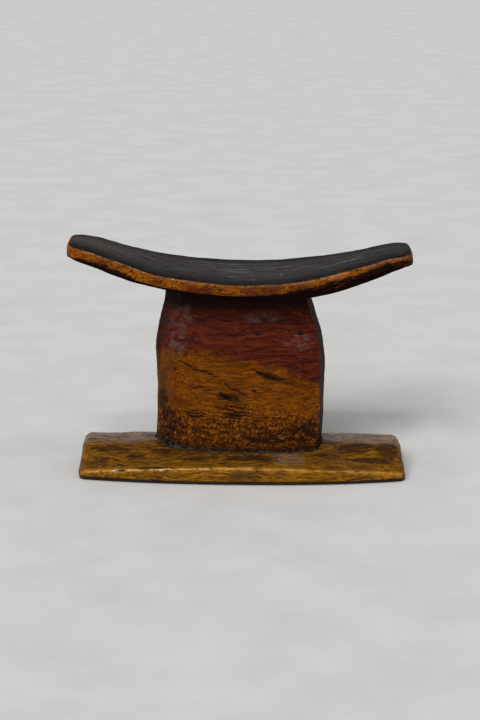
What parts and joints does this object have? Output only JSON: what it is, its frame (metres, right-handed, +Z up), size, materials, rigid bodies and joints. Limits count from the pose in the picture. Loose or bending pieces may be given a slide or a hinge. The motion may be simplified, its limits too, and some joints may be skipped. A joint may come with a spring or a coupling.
{
  "type": "headrest",
  "caption": "Carved wooden headrest: a dark plate that curves up at both ends, on a broad column with pared corners, on a low domed base with square ends.",
  "frame": {"origin": "on the floor, under the middle of the overall box", "axes": "+X along the plate towards its lower tip, +Y from the front to the back, +Z up"},
  "size_m": [0.1924, 0.0816, 0.1333],
  "materials": {
    "base_wood": "waxed yellow-brown sapwood, worn bright along the edges",
    "column_wood": "waxed wood, red-brown above and yellow-brown below, crackled at the foot",
    "blackened_wood": "blackened and polished by use, with an orange-brown edge",
    "dark_wax": "hard grey-green wax with dust in it"
  },
  "bodies": {
    "root": {"base": "base_wood", "column": "column_wood", "neck_plate": "blackened_wood", "foot_wax_bead": "dark_wax"}
  },
  "joints": []
}
